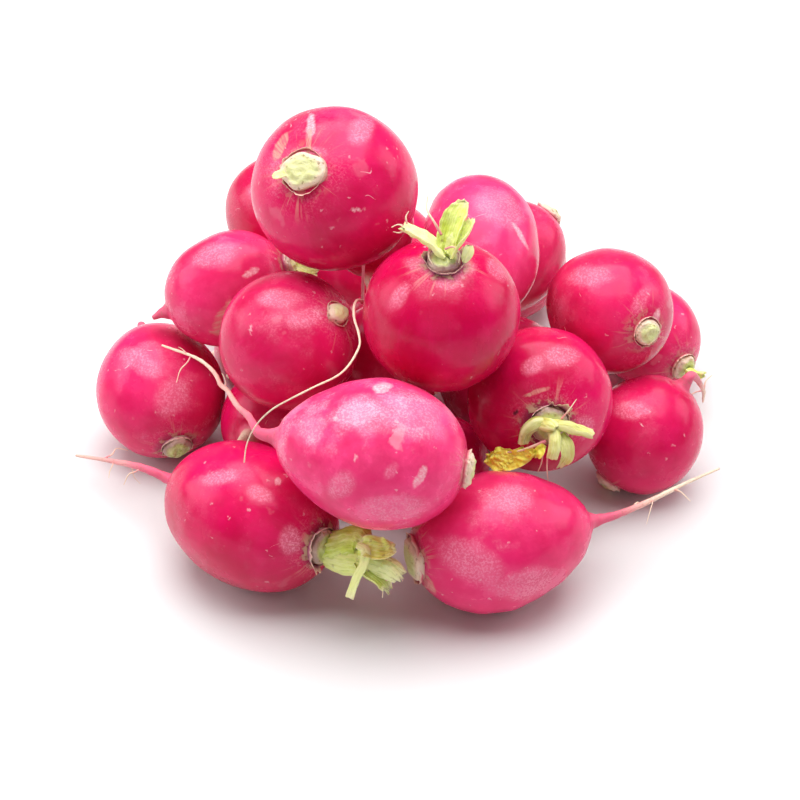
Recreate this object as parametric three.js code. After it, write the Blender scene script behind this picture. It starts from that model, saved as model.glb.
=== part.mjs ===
// A heap of round red radishes, washed, with their leaves cut off: a bunch that has been tipped out to be
// served. Each radish is one root, which is the bulb with its tail, and a crown, the stump that the leaves
// grew from. Some crowns still carry leaf stalks, cut short or torn.
//
// Millimetres, +Z up. The heap lies on the plane z = 0 and is seen from -Y. Its origin is on that plane,
// under the middle of the heap.
import * as THREE from 'three';

// ---- Driving dimensions ----
const bulb = 34; // width of a middling bulb, which is also the unit that the heap is laid out in
const clearance = 0.35; // air left between two pieces that touch
const rollReach = 1.5; // how far a radish rolls from where it is put before friction holds it
const shoulderShare = 0.47; // how much of a bulb's length is above its widest place
const shoulderPower = 2.12; // fullness of the upper outline: 2 is an ellipse, more is squarer
const lowerPower = 2; // fullness of the lower outline
const neckRadius = 2.7; // where the tail leaves the bulb
const neckFade = 3.2; // distance over which the neck narrows to the tail
const tailRadius = 1.15; // just past the neck
const tipRadius = 0.35; // at the end of a tail
const crownHeight = 1.8; // how far a crown stands above the bulb's cut top
const stalkTaper = 0.3; // share of a stalk's radius lost towards its torn end

// ---- Fineness of the solids ----
const rootSides = 14;
const crownSides = 12;
const crownRows = 3;
const stalkSides = 8;
const bulbRows = 10;
const tailStep = 4; // distance between two rows of a tail
const stalkStep = 2.5;
const contactRows = 13;
const fillShare = 0.6; // how far along a bulb, from its widest place, the spheres that stand for it go

// ---- The radishes, in the order in which they are laid ----
// at: where it is put, from above, in bulbs. width, length: in bulbs. heading, pitch: which way its crown
// points, in degrees from +X towards +Y, and above the horizon. crown: radius of the cut crown.
// tail: how far its tail reaches beyond the neck, if it is not one of the long ones.
const radishes = [
  // name, at, width, length, heading, pitch, crown, tail
  // On the ground
  ['front_left', [-1, -1.21], 1.01, 1.36, -40, 6, 4, 14],
  ['front_right', [0.65, -1.46], 0.98, 1.27, 196, -2, 5.2, 14],
  ['left', [-1.75, 0.26], 0.95, 1.03, -72, -20, 3.4, 14],
  ['right', [1.75, -0.19], 0.84, 0.88, 205, -50, 3.2, 14],
  ['inner_left', [-0.86, -0.12], 0.92, 0.93, 60, -20, 3.5, 2],
  ['inner_front', [0.24, -0.53], 0.78, 0.82, 90, -20, 3.5, 2],
  ['inner_right', [0.75, 0.45], 0.95, 1.0, 200, 25, 3.5, 2],
  ['inner_middle', [-0.05, 0.92], 0.88, 0.9, -60, 20, 3.5, 2],
  ['inner_back', [-0.94, 0.78], 0.88, 0.9, -30, 20, 3.5, 2],
  ['back_right', [1.88, 1.12], 0.8, 0.95, -55, -5, 3.2, 4],
  ['back_far_right', [0.86, 2.03], 0.92, 1.05, 60, 0, 4, 10],
  ['back_middle', [-0.16, 1.99], 1.0, 1.1, -20, 8, 4, 16],
  ['back_left', [-1.24, 1.88], 0.78, 0.95, 120, -5, 4, 10],
  // On those
  ['front_middle', [-0.11, -1.52], 1.02, 1.28, -8, -6, 3.7, 14],
  ['right_front', [0.93, -0.53], 1.03, 0.95, -85, 14, 4, 4],
  ['right_upper', [1.52, 0.31], 0.91, 0.98, -60, 11, 3.3, 5],
  ['left_upper', [-1.25, 0.42], 0.84, 0.95, 5, 20, 3.3, 1],
  ['core', [-0.11, 0.12], 0.85, 0.88, 200, -60, 3.3, 2],
  ['back_upper_right', [0.81, 1.31], 0.8, 0.95, 40, 30, 3.3, 3],
  ['upper_back_right', [0.57, 0.65], 0.85, 1.2, 95, 15, 3.3, 3],
  ['middle_left', [-0.76, -0.37], 0.99, 0.95, -17, 40, 2.8, 1],
  ['middle_right', [0.3, -0.73], 1.07, 1.02, -80, 79, 3.6, 4],
  ['upper_back_left', [-0.9, 1.24], 0.85, 0.9, 110, -5, 3.3, 3],
  ['upper_back', [-0.26, 0.84], 0.66, 0.72, 90, 40, 3.3, 2],
  ['top', [-0.47, 0.02], 1.15, 1.11, -120, 41, 4.6, 10],
].map(([name, at, width, length, heading, pitch, crown, tail]) => (
  { name, at, width, length, heading, pitch, crown, tail }
));

// ---- The tails that reach far ----
// The points, in bulbs, that each passes after it leaves its bulb.
const longTails = {
  front_left: [[-1.8, -0.6, 0.45], [-2.05, -0.35, 0.32], [-2.35, -0.15, 0.22]],
  front_right: [[1.45, -1.22, 0.52], [1.65, -1.1, 0.52], [2, -0.8, 0.48], [2.25, -0.6, 0.45]],
  left: [[-1.95, 0.9, 0.5], [-2, 1.05, 0.25]],
  right: [[2.2, 0.15, 0.6], [2.25, 0.4, 0.3]],
  front_middle: [
    [-1, -1.2, 1.35], [-1.1, -0.9, 1.22], [-1.2, -0.65, 1.2], [-1.4, -0.2, 1.1], [-1.7, 0.1, 1.02],
  ],
  back_middle: [[-0.85, 2.3, 0.2], [-1.3, 2.42, 0.04], [-1.75, 2.3, 0.04]],
  top: [
    [-0.25, 0.33, 1.65], [-0.26, -0.1, 1.55], [-0.26, -0.6, 1.85], [-0.26, -0.97, 1.8], [-0.36, -1.3, 1.8],
    [-0.6, -1.7, 1.92], [-0.84, -1.71, 1.76], [-0.97, -1.71, 1.55], [-1, -1.76, 1.4],
  ],
};

// ---- The leaf stalks that are left ----
// around, out: where it stands on the crown, in degrees round the axis and in millimetres from it.
// towards: the heading and pitch that it was bent to. length, radius: in millimetres.
const stalks = {
  front_left: [
    { around: 270, out: 2.2, towards: [5, 32], length: 9, radius: 1.5 },
    { around: 150, out: 2.2, towards: [-15, -4], length: 11, radius: 1.5 },
    { around: 30, out: 2.2, towards: [-60, -12], length: 8, radius: 1.4 },
  ],
  middle_right: [
    { around: 0, out: 2, towards: [175, 15], length: 9, radius: 1.6 },
    { around: 180, out: 2, towards: [30, 55], length: 7, radius: 1.5 },
  ],
  right_front: [
    { around: 180, out: 2.2, towards: [0, 10], length: 9, radius: 1.6 },
    { around: 60, out: 2.2, towards: [-90, -20], length: 3, radius: 1.4 },
  ],
  back_right: [{ around: 90, out: 0, towards: [-20, 10], length: 3, radius: 1.5 }],
  back_left: [{ around: 60, out: 1.5, towards: [100, 5], length: 7, radius: 1.6 }],
};

// ---- A bulb's outline ----
// Along its axis the widest place is 0, the crown is above it and the tail below.

function outlineOf(radish, side) {
  const share = side > 0 ? shoulderShare : 1 - shoulderShare;
  return {
    reach: radish.length * bulb * share,
    power: side > 0 ? shoulderPower : lowerPower,
    widest: radish.width * bulb / 2,
  };
}

function radiusAt(radish, height) {
  const { reach, power, widest } = outlineOf(radish, height);
  return widest * (1 - Math.min(1, Math.abs(height) / reach) ** power) ** (1 / power);
}

// The height, above (side 1) or below (side -1) the widest place, where the bulb has narrowed to a radius.
function heightWhere(radish, radius, side) {
  const { reach, power, widest } = outlineOf(radish, side);
  return side * reach * (1 - (radius / widest) ** power) ** (1 / power);
}

// Heights from the neck to the cut top, closer together where the outline turns in.
function bulbHeights(radish, rows) {
  const neck = heightWhere(radish, neckRadius, -1);
  const top = heightWhere(radish, radish.crown, 1);
  return Array.from({ length: rows }, (_, i) => {
    const turn = Math.PI * i / (rows - 1);
    return (neck + top) / 2 - (top - neck) / 2 * Math.cos(turn);
  });
}

// The sphere that a crown is a low cap of.
function crownCap(radish) {
  const base = heightWhere(radish, radish.crown, 1) + clearance;
  const radius = (radish.crown ** 2 + crownHeight ** 2) / (2 * crownHeight);
  return { base, radius, centre: base + crownHeight - radius };
}

// ---- Laying the heap ----

function direction(heading, pitch) {
  const [h, p] = [heading, pitch].map(THREE.MathUtils.degToRad);
  return new THREE.Vector3(Math.cos(p) * Math.cos(h), Math.cos(p) * Math.sin(h), Math.sin(p));
}

// Spheres on the axis that fill the bulb, swelled just enough to hold its whole outline, and those of the
// neck and the crown.
function contactSpheres(radish, axis) {
  const outline = bulbHeights(radish, 3 * contactRows).map((height) => [height, radiusAt(radish, height)]);
  const [low, high] = [-1, 1].map((side) => outlineOf(radish, side).reach * fillShare);
  const spheres = Array.from({ length: contactRows }, (_, i) => {
    const at = -low + (low + high) * i / (contactRows - 1);
    return { at, radius: Math.min(...outline.map(([height, radius]) => Math.hypot(height - at, radius))) };
  });
  const left = outline.map(([height, radius]) =>
    Math.min(...spheres.map((sphere) => Math.hypot(height - sphere.at, radius) - sphere.radius)));
  const swell = Math.max(...left);
  const cap = crownCap(radish);
  const neckAt = heightWhere(radish, neckRadius, -1) - neckFade;
  const onAxis = (at, radius) => ({ centre: axis.clone().multiplyScalar(at), radius });
  return [
    ...spheres.map(({ at, radius }) => onAxis(at, radius + swell)),
    onAxis(neckAt, neckRadius),
    onAxis(cap.centre, cap.radius),
  ];
}

// How high a radish lies at a place when it is lowered there onto the ground or onto those already laid.
function restingHeight(own, x, y, laid) {
  let height = 0;
  for (const { centre, radius } of own) {
    height = Math.max(height, radius - centre.z);
    for (const other of laid) {
      const reach = radius + other.radius + clearance;
      const apart = Math.hypot(x + centre.x - other.centre.x, y + centre.y - other.centre.y);
      if (apart < reach) {
        height = Math.max(height, other.centre.z - centre.z + Math.sqrt(reach ** 2 - apart ** 2));
      }
    }
  }
  return height;
}

// Lowers a radish where it is put, and lets it roll downhill until it is cradled or friction holds it.
function rest(radish, laid) {
  const axis = direction(radish.heading, radish.pitch);
  const own = contactSpheres(radish, axis);
  const [startX, startY] = radish.at.map((place) => place * bulb);
  let [x, y] = [startX, startY];
  let z = restingHeight(own, x, y, laid);
  for (let step = 1; step > 0.02; step /= 2) {
    for (let moved = true; moved;) {
      moved = false;
      for (let turn = 0; turn < 2 * Math.PI; turn += Math.PI / 8) {
        const [nextX, nextY] = [x + step * Math.cos(turn), y + step * Math.sin(turn)];
        const next = restingHeight(own, nextX, nextY, laid);
        if (next < z - 1e-4 * step && Math.hypot(nextX - startX, nextY - startY) < rollReach) {
          [x, y, z, moved] = [nextX, nextY, next, true];
        }
      }
    }
  }
  const centre = new THREE.Vector3(x, y, z);
  own.forEach((sphere) => laid.push({ ...sphere, centre: sphere.centre.add(centre), owner: radish.name }));
  return { ...radish, axis, centre };
}

const laid = [];
const heap = radishes.map((radish) => rest(radish, laid));

// ---- Turned pieces ----

const up = new THREE.Vector3(0, 0, 1);
const samePoint = 1e-6;

// A round piece with a radius at each point of its spine: a lathe whose rows are set square to the spine.
function turned(spine, radii, sides) {
  const profile = radii.map((radius, row) => new THREE.Vector2(radius, row));
  const geometry = new THREE.LatheGeometry(profile, sides);
  const position = geometry.attributes.position;
  const tangents = spine.map((point, row) => {
    const apart = (other) => other.distanceTo(point) > samePoint;
    const ahead = spine.slice(row).find(apart) ?? point;
    const behind = spine.slice(0, row).findLast(apart) ?? point;
    return ahead.clone().sub(behind).normalize();
  });
  const across = new THREE.Vector3(tangents[0].z, tangents[0].x, tangents[0].y);
  const frames = tangents.map((tangent) => {
    across.addScaledVector(tangent, -across.dot(tangent)).normalize();
    return { across: across.clone(), over: new THREE.Vector3().crossVectors(across, tangent) };
  });
  for (let i = 0; i < position.count; i++) {
    const row = i % spine.length;
    const place = spine[row].clone()
      .addScaledVector(frames[row].across, position.getX(i))
      .addScaledVector(frames[row].over, position.getZ(i));
    position.setXYZ(i, place.x, place.y, place.z);
  }
  return geometry;
}

const along = (radish, height) => radish.centre.clone().addScaledVector(radish.axis, height);

// Moves a point out of whatever it would run into, other than its own radish.
function keepClear(point, radius, owner) {
  for (let pass = 0; pass < 30; pass++) {
    for (const other of laid) {
      const reach = other.radius + radius + clearance;
      const away = point.clone().sub(other.centre);
      if (other.owner !== owner && away.length() < reach) {
        point.copy(other.centre).addScaledVector(away.normalize(), reach);
      }
    }
    point.z = Math.max(point.z, radius);
  }
  return point;
}

// Keeps whatever comes later clear of a tail or a stalk.
function mark(spine, radius) {
  for (let i = 1; i < spine.length; i++) {
    for (let part = 0; part < 1; part += 0.25) {
      laid.push({ centre: spine[i - 1].clone().lerp(spine[i], part), radius, owner: 'thin' });
    }
  }
}

// The line that a tail follows, from the neck to the tip.
function tailSpine(radish) {
  const neck = along(radish, heightWhere(radish, neckRadius, -1));
  const points = [neck, neck.clone().addScaledVector(radish.axis, -neckFade)];
  if (radish.name in longTails) {
    points.push(...longTails[radish.name].map((place) => new THREE.Vector3(...place).multiplyScalar(bulb)));
  } else {
    const end = neck.clone().addScaledVector(radish.axis, -neckFade - radish.tail);
    end.z -= radish.tail / 4;
    points.push(end);
  }
  const curve = new THREE.CatmullRomCurve3(points, false, 'centripetal');
  const spine = curve.getSpacedPoints(Math.ceil(curve.getLength() / tailStep));
  spine.forEach((point, i) => i > 1 && keepClear(point, tailRadius, radish.name));
  mark(spine, tailRadius);
  return spine;
}

function rootOf(radish) {
  const spine = tailSpine(radish);
  const step = spine.map((point, i) => (i ? point.distanceTo(spine[i - 1]) : 0));
  let run = 0;
  const travelled = step.map((length) => (run += length));
  const radii = travelled.map((distance) => tipRadius + (tailRadius - tipRadius) * (1 - distance / run)
    + (neckRadius - tailRadius) * Math.exp(-distance / neckFade));
  const heights = bulbHeights(radish, bulbRows);
  const rows = [
    ...spine.map((point, i) => [point, radii[i]]).reverse(),
    ...heights.slice(1).map((height) => [along(radish, height), radiusAt(radish, height)]),
  ];
  rows.unshift([spine.at(-1), 0]);
  rows.push([along(radish, heights.at(-1)), 0]);
  return turned(rows.map((row) => row[0]), rows.map((row) => row[1]), rootSides);
}

function crownOf(radish) {
  const { base, radius, centre } = crownCap(radish);
  const rim = Math.asin(radish.crown / radius);
  const rows = [[along(radish, base), 0]];
  for (let row = 0; row <= crownRows; row++) {
    const turn = rim * (1 - row / crownRows);
    rows.push([along(radish, centre + radius * Math.cos(turn)), radius * Math.sin(turn)]);
  }
  return turned(rows.map((row) => row[0]), rows.map((row) => row[1]), crownSides);
}

// A stalk stands square on the crown and then leans over towards where it was bent.
function stalkOf(radish, stalk) {
  const cap = crownCap(radish);
  const around = new THREE.Vector3().crossVectors(radish.axis, up).normalize();
  const side = around.applyAxisAngle(radish.axis, THREE.MathUtils.degToRad(stalk.around));
  const foot = radish.axis.clone().multiplyScalar(Math.sqrt(cap.radius ** 2 - stalk.out ** 2))
    .addScaledVector(side, stalk.out).normalize();
  const start = along(radish, cap.centre).addScaledVector(foot, cap.radius + clearance);
  const knee = start.clone().addScaledVector(foot, stalk.radius);
  const end = knee.clone().addScaledVector(direction(...stalk.towards), stalk.length);
  const curve = new THREE.CatmullRomCurve3([start, knee, end], false, 'centripetal');
  const spine = curve.getSpacedPoints(Math.ceil(curve.getLength() / stalkStep));
  spine.forEach((point, i) => i > 1 && keepClear(point, stalk.radius));
  mark(spine, stalk.radius);
  const last = spine.length - 1;
  const radii = spine.map((_, i) => stalk.radius * (1 - stalkTaper * i / last));
  return turned([spine[0], ...spine, spine[last]], [0, ...radii, 0], stalkSides);
}

// ---- The heap ----

const skin = new THREE.MeshStandardMaterial({ color: 0xc8114f, roughness: 0.38, metalness: 0 });
const stump = new THREE.MeshStandardMaterial({ color: 0xcfd9a4, roughness: 0.6, metalness: 0 });
const green = new THREE.MeshStandardMaterial({ color: 0x9dbb62, roughness: 0.55, metalness: 0 });
const group = new THREE.Group();

function add(name, geometry, material) {
  const mesh = new THREE.Mesh(geometry, material);
  mesh.name = name;
  group.add(mesh);
}

for (const radish of heap) {
  add(`${radish.name}_root`, rootOf(radish), skin);
}
for (const radish of heap) {
  add(`${radish.name}_crown`, crownOf(radish), stump);
  (stalks[radish.name] ?? []).forEach((stalk, i) => {
    add(`${radish.name}_stalk_${i + 1}`, stalkOf(radish, stalk), green);
  });
}

const box = new THREE.Box3().setFromObject(group);
const middle = box.getCenter(new THREE.Vector3());
group.children.forEach((mesh) => mesh.geometry.translate(-middle.x, -middle.y, -box.min.z));

export default group;
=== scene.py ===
import math

import bmesh
import bpy
import numpy as np
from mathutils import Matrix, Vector


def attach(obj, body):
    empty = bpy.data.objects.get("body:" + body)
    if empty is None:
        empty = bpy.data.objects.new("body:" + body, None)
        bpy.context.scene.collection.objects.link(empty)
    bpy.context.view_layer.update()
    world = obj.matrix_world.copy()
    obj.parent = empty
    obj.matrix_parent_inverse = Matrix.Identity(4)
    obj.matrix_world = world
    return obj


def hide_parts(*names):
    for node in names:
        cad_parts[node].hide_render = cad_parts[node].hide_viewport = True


# ---- The heap and the eye ----
# A bunch of round red radishes, tipped out in a heap as they are served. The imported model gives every
# radish its place; the eye looks down on the heap from the front, a little above the height of a hand.
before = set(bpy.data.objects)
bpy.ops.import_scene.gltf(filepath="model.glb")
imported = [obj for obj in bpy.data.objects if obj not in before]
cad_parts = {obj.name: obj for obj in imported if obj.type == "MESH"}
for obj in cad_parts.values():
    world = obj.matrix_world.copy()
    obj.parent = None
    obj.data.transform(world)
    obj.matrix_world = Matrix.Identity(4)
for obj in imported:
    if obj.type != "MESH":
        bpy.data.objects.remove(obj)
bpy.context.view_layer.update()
mm = 0.001

looks_at = np.array([0.96, 6.74, 9.0]) * mm
eye_angle = math.radians(36.2)
eye_distance = 600 * mm
right = np.array([1.0, 0, 0])
near = np.array([0, -math.cos(eye_angle), math.sin(eye_angle)])
high = np.cross(near, right)

eye = bpy.data.objects.new("eye", bpy.data.cameras.new("eye"))
bpy.context.scene.collection.objects.link(eye)
eye.location = looks_at + eye_distance * near
eye.rotation_euler = (math.radians(90) - eye_angle, 0, 0)
eye.data.sensor_width = 36
eye.data.lens = 106.5
eye.data.clip_start = 0.01
bpy.context.scene.camera = eye
bpy.context.scene.view_settings.view_transform = "Standard"

# ---- Roots ----
# A radish's root is its bulb and its tail, grown as one: thin red skin over white flesh, moist and firm.
# The bulb is turned about its axis with slight lumps, and runs out through a neck into a bent, pale tail.
root_sides = 120
bulb_step = 0.45 * mm
tail_step = 0.4 * mm
lump_depth = 0.85 * mm
lump_length = 26 * mm
small_lump_length = 9 * mm
fold_depth = 0.4 * mm
tail_lump = 0.14
ripple_length = 6 * mm
knot_length = 2.2 * mm
thinnest_tail = 0.3 * mm
neck_radius = 2.7 * mm
neck_end_radius = 3.2 * mm

# How thick the tail is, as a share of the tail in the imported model: the usual share, and where it differs.
usual_tail_share = 0.82
tail_share = {"top": 0.4, "front_middle": 0.8, "left": 0.6, "front_left": 1.0}
# How far the tail's tip fades to cream, from 0 to 1, where it isn't all the way.
tail_cream = {"front_left": 0.4, "front_middle": 0.75, "left_upper": 0.1}
# How far an egg-shaped bulb is slimmed towards its neck, as a share of what its radius is over the neck's.
tail_taper = {"front_middle": 0.36, "front_right": 0.26}

# How pale each radish is, from 0, deep crimson, to 1, frosty pink, where it isn't the usual paleness.
# Paler radishes also get more of the painted sheen.
usual_paleness = 0.25
paleness = {
    "front_middle": 0.95, "upper_back_right": 0.8, "left_upper": 0.62, "back_upper_right": 0.45,
    "middle_left": 0.3, "top": 0.22, "right_upper": 0.35, "front_right": 0.6, "upper_back_left": 0.15,
    "left": 0.42, "back_right": 0.5, "front_left": 0.12, "right": 0.2, "right_front": 0.1,
    "middle_right": 0.04, "inner_left": 0.1, "inner_front": 0.1, "core": 0.1, "inner_middle": 0.25,
}

# How dark and corky the skin is where it meets the crown, from 0 to 1, where it isn't the usual strength.
usual_collar = 0.3
collar_strength = {
    "front_left": 0.9, "middle_right": 0.8, "right_front": 1.0, "left": 0.7, "top": 0.12,
    "middle_left": 0.08, "front_right": 0.5, "right_upper": 0.25, "left_upper": 0.6,
}

# The colours of the skin, in linear red, green and blue, as all colours here are.
deep_crimson = (0.50, 0.0, 0.042)
crimson = (0.70, 0.0, 0.092)
streak_red = (0.78, 0.008, 0.14)
pale_pink = (0.95, 0.06, 0.23)
# The pale pink of frosty skin, laid partly as a painted sheen where the light catches the bulb.
frost_and_sheen_pink = (0.94, 0.36, 0.50)
scuff_white = (0.94, 0.57, 0.62)
peeled_tan = (0.76, 0.33, 0.27)
collar_maroon = (0.17, 0.025, 0.06)
cork_tan = (0.58, 0.38, 0.24)
bruise_black = (0.03, 0.01, 0.015)
neck_pink = (0.72, 0.11, 0.20)
tip_cream = (0.84, 0.66, 0.50)
scar_brown = (0.42, 0.18, 0.13)

# Marks on the skin: what it is, how far right and how high of the bulb's middle it lies as the eye sees
# it, its half length and half width, all in millimetres, and its turn in degrees.
# The pale frosty marks are partly rubbed skin and partly a painted sheen, where the light catches the bulb.
marks = {
    "top": [("frost_and_sheen", 6.2, 12.0, 4.2, 3.0, 60), ("scuff", -5.0, 13.4, 4.0, 1.1, 94),
            ("peel", -12.0, 8.6, 3.6, 1.5, 65), ("peel", -5.4, 9.4, 3.4, 0.8, 88),
            ("frost_and_sheen", -5.6, 6.4, 4.6, 2.0, 0), ("scuff", 5.6, -6.2, 2.0, 0.45, 2)],
    "front_middle": [("scuff", 1.2, 14.6, 2.5, 1.3, 10), ("scuff", 9.4, -4.6, 3.0, 1.2, 60),
                     ("frost_and_sheen", 7.4, 8.6, 8.5, 5.5, -20), ("scuff", -4.6, -0.6, 1.2, 0.4, 70),
                     ("frost_and_sheen", 3.2, -3.2, 2.4, 1.4, 50), ("scuff", -8.8, 7.9, 0.7, 0.6, 0),
                     ("frost_and_sheen", -14.5, 3.2, 1.6, 1.2, 60), ("frost_and_sheen", 3.0, -11.5, 9.0, 3.4, 5),
                     ("frost_and_sheen", -7.5, -6.5, 4.0, 3.0, 40), ("frost_and_sheen", -4.0, 9.0, 7.0, 2.6, 10)],
    "middle_right": [("frost_and_sheen", -4.6, 10.0, 4.2, 2.0, -20), ("frost_and_sheen", 3.4, 9.0, 4.4, 2.0, 15),
                     ("frost_and_sheen", 1.2, 6.4, 2.0, 3.4, 90), ("frost_and_sheen", -9.5, 3.0, 4.0, 2.0, 60),
                     ("frost_and_sheen", 12.4, 9.2, 3.6, 2.2, -50)],
    "right_front": [("frost_and_sheen", -2.6, 7.6, 3.2, 2.0, 35), ("frost_and_sheen", 4.6, 10.0, 4.6, 2.8, 0),
                    ("dark", -6.4, -3.2, 1.0, 0.6, 60), ("peel", -2.2, 1.4, 3.4, 0.6, 18),
                    ("frost_and_sheen", 9.5, -6.5, 3.0, 3.0, 20)],
    "front_left": [("frost_and_sheen", -7.0, 9.4, 5.4, 1.8, 14), ("frost_and_sheen", 2.2, 5.8, 3.6, 2.0, -25),
                   ("scuff", 6.4, 8.6, 0.9, 0.9, 0), ("frost_and_sheen", 9.4, -4.6, 2.6, 3.6, 0)],
    "left_upper": [("peel", -0.6, -7.4, 5.0, 2.6, 50), ("frost_and_sheen", -3.2, 7.6, 6.4, 3.4, 10),
                   ("scuff", 5.4, 3.2, 2.6, 0.9, 30)],
    "right_upper": [("scuff", 9.8, -2.2, 2.8, 1.0, 70), ("frost_and_sheen", -6.0, 8.0, 6.0, 3.0, 0),
                    ("frost_and_sheen", 6.0, 2.0, 4.0, 2.0, 60)],
    "left": [("frost_and_sheen", -4.0, 7.6, 6.5, 3.0, -30), ("frost_and_sheen", 4.0, -1.0, 6.0, 4.0, 60)],
    "front_right": [("frost_and_sheen", -6.0, -3.6, 9.0, 5.0, -30), ("peel", -17.6, 5.6, 4.6, 1.2, 60),
                    ("peel", -16.6, -8.0, 4.6, 1.1, -55), ("frost_and_sheen", 2.0, 10.5, 7.0, 3.4, 0),
                    ("frost_and_sheen", 6.0, -9.0, 9.0, 4.0, 10)],
    "upper_back_right": [("frost_and_sheen", 4.0, 8.0, 7.0, 5.0, -40), ("scuff", 9.0, 1.0, 4.0, 0.7, -60)],
    "middle_left": [("frost_and_sheen", -2.0, 9.2, 6.0, 2.6, 0), ("frost_and_sheen", 4.0, 4.6, 5.0, 2.4, 20),
                    ("scuff", -8.6, 1.8, 1.6, 0.3, 85), ("scuff", -0.4, 15.2, 1.0, 0.3, 0)],
    "right": [("frost_and_sheen", -4.0, 6.4, 5.0, 2.4, 0), ("scuff", 6.0, -2.0, 0.6, 0.4, 0)],
    "back_upper_right": [("scuff", 1.0, -3.0, 1.8, 0.7, 30), ("frost_and_sheen", 3.0, 6.0, 4.0, 3.0, 0)],
    "upper_back_left": [("frost_and_sheen", -4.0, 4.0, 4.0, 4.0, 0)],
}
mark_kinds = ("frost_and_sheen", "scuff", "peel", "dark")
radishes = sorted(name[:-5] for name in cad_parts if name.endswith("_root"))


def rings(node):
    """Walks a turned solid from one pole to the other, ring by ring, and gives the centre and the mean
    radius of each ring. A pole is a corner where more edges meet than anywhere else; the walk starts at
    the pole with the shorter edges, and the next ring is always what the last one's edges reach."""
    shape = bmesh.new()
    shape.from_mesh(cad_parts[node].data)
    bmesh.ops.remove_doubles(shape, verts=shape.verts, dist=0.02 * mm)
    poles = sorted(shape.verts, key=lambda corner: -len(corner.link_edges))[:2]
    start = min(poles, key=lambda pole: np.mean([edge.calc_length() for edge in pole.link_edges]))
    level, seen, centres, radii = {start}, {start}, [], []
    while level:
        corners = np.array([corner.co for corner in level])
        centres.append(corners.mean(0))
        radii.append(np.linalg.norm(corners - centres[-1], axis=1).mean())
        level = {edge.other_vert(corner) for corner in level for edge in corner.link_edges} - seen
        seen |= level
    shape.free()
    return np.array(centres), np.array(radii)


def through(rows, share):
    """A smooth curve through rows of numbers, read at shares of its length from 0 to 1: cubic Hermite
    pieces, whose slope at a row is that of the parabola through it and its two neighbours."""
    place = np.r_[0, np.cumsum(np.linalg.norm(np.diff(rows, axis=0), axis=1))]
    gap = np.diff(place)[:, None]
    slope = np.diff(rows, axis=0) / gap
    inner = (slope[:-1] * gap[1:] + slope[1:] * gap[:-1]) / (gap[1:] + gap[:-1])
    slopes = np.vstack([slope[:1], inner, slope[-1:]])
    where = np.clip(share, 0, 1) * place[-1]
    i = np.clip(np.searchsorted(place, where, side="right") - 1, 0, len(gap) - 1)
    t = ((where - place[i]) / gap[i, 0])[:, None]
    return (
        (2 * t**3 - 3 * t**2 + 1) * rows[i]
        + (t**3 - 2 * t**2 + t) * gap[i] * slopes[i]
        + (3 * t**2 - 2 * t**3) * rows[i + 1]
        + (t**3 - t**2) * gap[i] * slopes[i + 1]
    )


def square_to(line, first):
    """Three unit vectors at each point of a line: along it, and two square to it. The first of those
    starts as near as it can to a given direction, and is carried along without twist."""
    tangent = np.gradient(line, axis=0)
    tangent /= np.linalg.norm(tangent, axis=1)[:, None]
    across = np.empty_like(line)
    side = np.asarray(first, float)
    for i, forward in enumerate(tangent):
        side = side - forward * (side @ forward)
        side /= np.linalg.norm(side)
        across[i] = side
    return tangent, across, np.cross(tangent, across)


def all_round(across, over, sides):
    """So many angles round a line, and the way out from the line at each: the first of two directions
    square to it times the angle's cosine, plus the second times its sine."""
    angle = np.arange(sides) / sides * 2 * np.pi
    return angle, np.cos(angle)[:, None] * across + np.sin(angle)[:, None] * over


def waves(places, seed, length, count=7):
    """Smooth lumps between -1 and 1: a sum of sine waves of about one length that run in random
    directions with random starts, divided by the root of their number."""
    chance = np.random.default_rng(seed)
    runs = chance.normal(size=(count, 3))
    runs *= 2 * np.pi / length / np.linalg.norm(runs, axis=1)[:, None]
    runs *= chance.uniform(0.7, 1.4, (count, 1))
    phase = chance.uniform(0, 2 * np.pi, count)
    return np.clip(np.sin(places @ runs.T + phase).sum(-1) / math.sqrt(count) / 1.5, -1, 1)


def closed_grid(name, places, attributes, ring=False):
    """A mesh from rows of points that each go once round. Neighbouring rows are joined by quads. The
    first and last row are each closed by a fan to their middle, or joined to each other in a ring."""
    rows, sides = places.shape[:2]
    row, side = np.meshgrid(np.arange(rows if ring else rows - 1), np.arange(sides), indexing="ij")
    row, after = row.ravel(), (row.ravel() + 1) % rows
    side, beside = side.ravel(), (side.ravel() + 1) % sides
    this_row, next_row = row * sides, after * sides
    faces = np.stack([this_row + side, this_row + beside, next_row + beside, next_row + side], -1).tolist()
    corners = places.reshape(-1, 3)
    if not ring:
        side = np.arange(sides)
        beside = (side + 1) % sides
        last = (rows - 1) * sides
        faces += np.stack([beside, side, np.full(sides, rows * sides)], -1).tolist()
        faces += np.stack([last + side, last + beside, np.full(sides, rows * sides + 1)], -1).tolist()
        corners = np.vstack([corners, places[0].mean(0), places[-1].mean(0)])
    mesh = bpy.data.meshes.new(name)
    mesh.from_pydata(corners.tolist(), [], faces)
    mesh.polygons.foreach_set("use_smooth", np.ones(len(mesh.polygons), bool))
    for key, values in attributes.items():
        values = np.broadcast_to(np.asarray(values, np.float32), (rows, sides) + np.shape(values)[2:])
        flat = values.reshape(rows * sides, -1)
        if not ring:
            flat = np.vstack([flat, flat[:sides].mean(0), flat[-sides:].mean(0)])
        kind, field = ("FLOAT_VECTOR", "vector") if flat.shape[1] == 3 else ("FLOAT", "value")
        mesh.attributes.new(key, kind, "POINT").data.foreach_set(field, flat.astype(np.float32).ravel())
    piece = bpy.data.objects.new(name, mesh)
    bpy.context.scene.collection.objects.link(piece)
    return piece


def eased(value, low, high_end):
    """How far a value is from one limit to another, from 0 to 1, eased at both ends."""
    t = np.clip((value - low) / (high_end - low), 0, 1)
    return t * t * (3 - 2 * t)


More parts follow.
